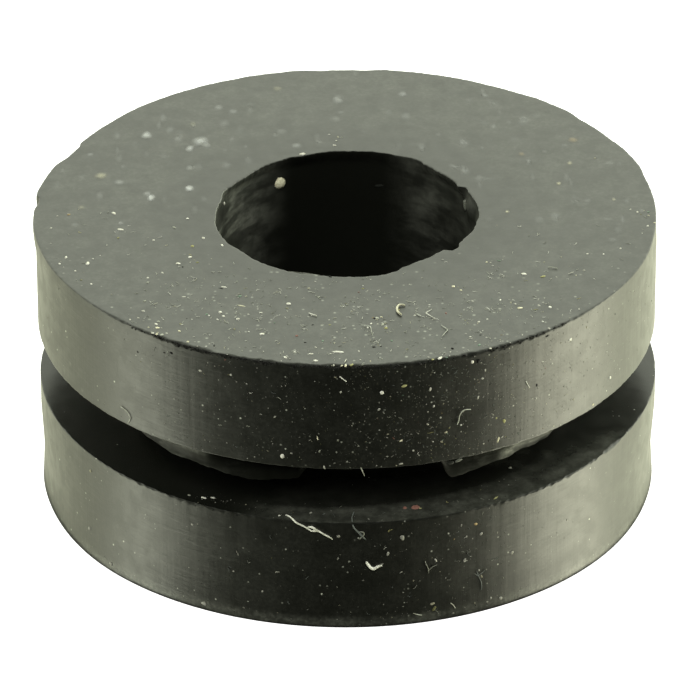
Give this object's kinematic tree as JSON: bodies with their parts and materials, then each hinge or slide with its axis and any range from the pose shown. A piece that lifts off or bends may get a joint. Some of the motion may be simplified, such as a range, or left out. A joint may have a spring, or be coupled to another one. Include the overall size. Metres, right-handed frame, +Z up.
{
  "type": "rubber grommet",
  "caption": "Thick round rubber grommet with a square panel groove round its outside and a plain bore through its middle.",
  "frame": {"origin": "centre of the lower face, on the axis of the bore, where the grommet stands", "axes": "+Z up along the bore, towards the face with the sharper lip; -Y towards the front, where the torn flash hangs into the groove"},
  "size_m": [0.0144, 0.0144, 0.0068],
  "materials": {
    "rubber": "semi-matt moulded rubber, near black with a faint olive tint, dusty"
  },
  "bodies": {
    "root": {"grommet": "rubber"}
  },
  "joints": []
}
